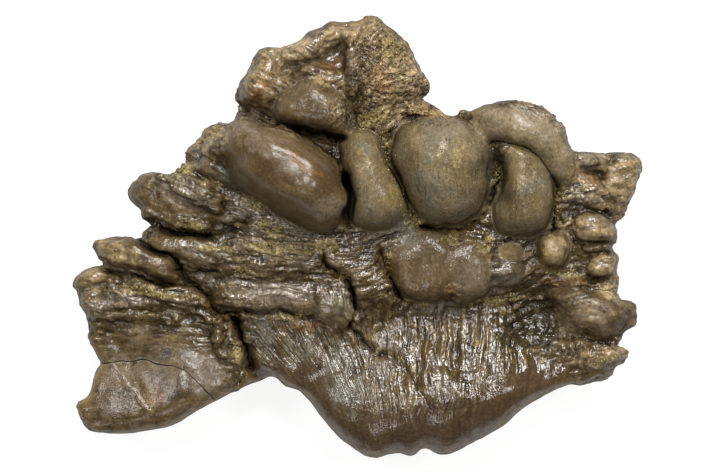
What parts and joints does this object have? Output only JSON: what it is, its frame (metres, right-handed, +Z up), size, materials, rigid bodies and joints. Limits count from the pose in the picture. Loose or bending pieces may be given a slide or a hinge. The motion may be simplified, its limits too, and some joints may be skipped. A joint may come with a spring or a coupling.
{
  "type": "fossil skull section",
  "caption": "Broken-off section of a dome-headed dinosaur's fossil skull with rounded bony knobs above a smooth curved apron of bone, lying on its back.",
  "frame": {"origin": "under the middle of the fossil's bounding box, on the surface that it lies on", "axes": "+X to the right of the front as seen, the long way; +Y to the top of the skull section, where the knobs are; +Z up, out of the front"},
  "size_m": [0.1908, 0.1474, 0.0652],
  "materials": {
    "fossil_bone": "dark brown mineralised bone under a clear glossy consolidant, with ochre matrix in the hollows and porous tan bone at the top right"
  },
  "bodies": {
    "root": {"skull_section": "fossil_bone"}
  },
  "joints": []
}
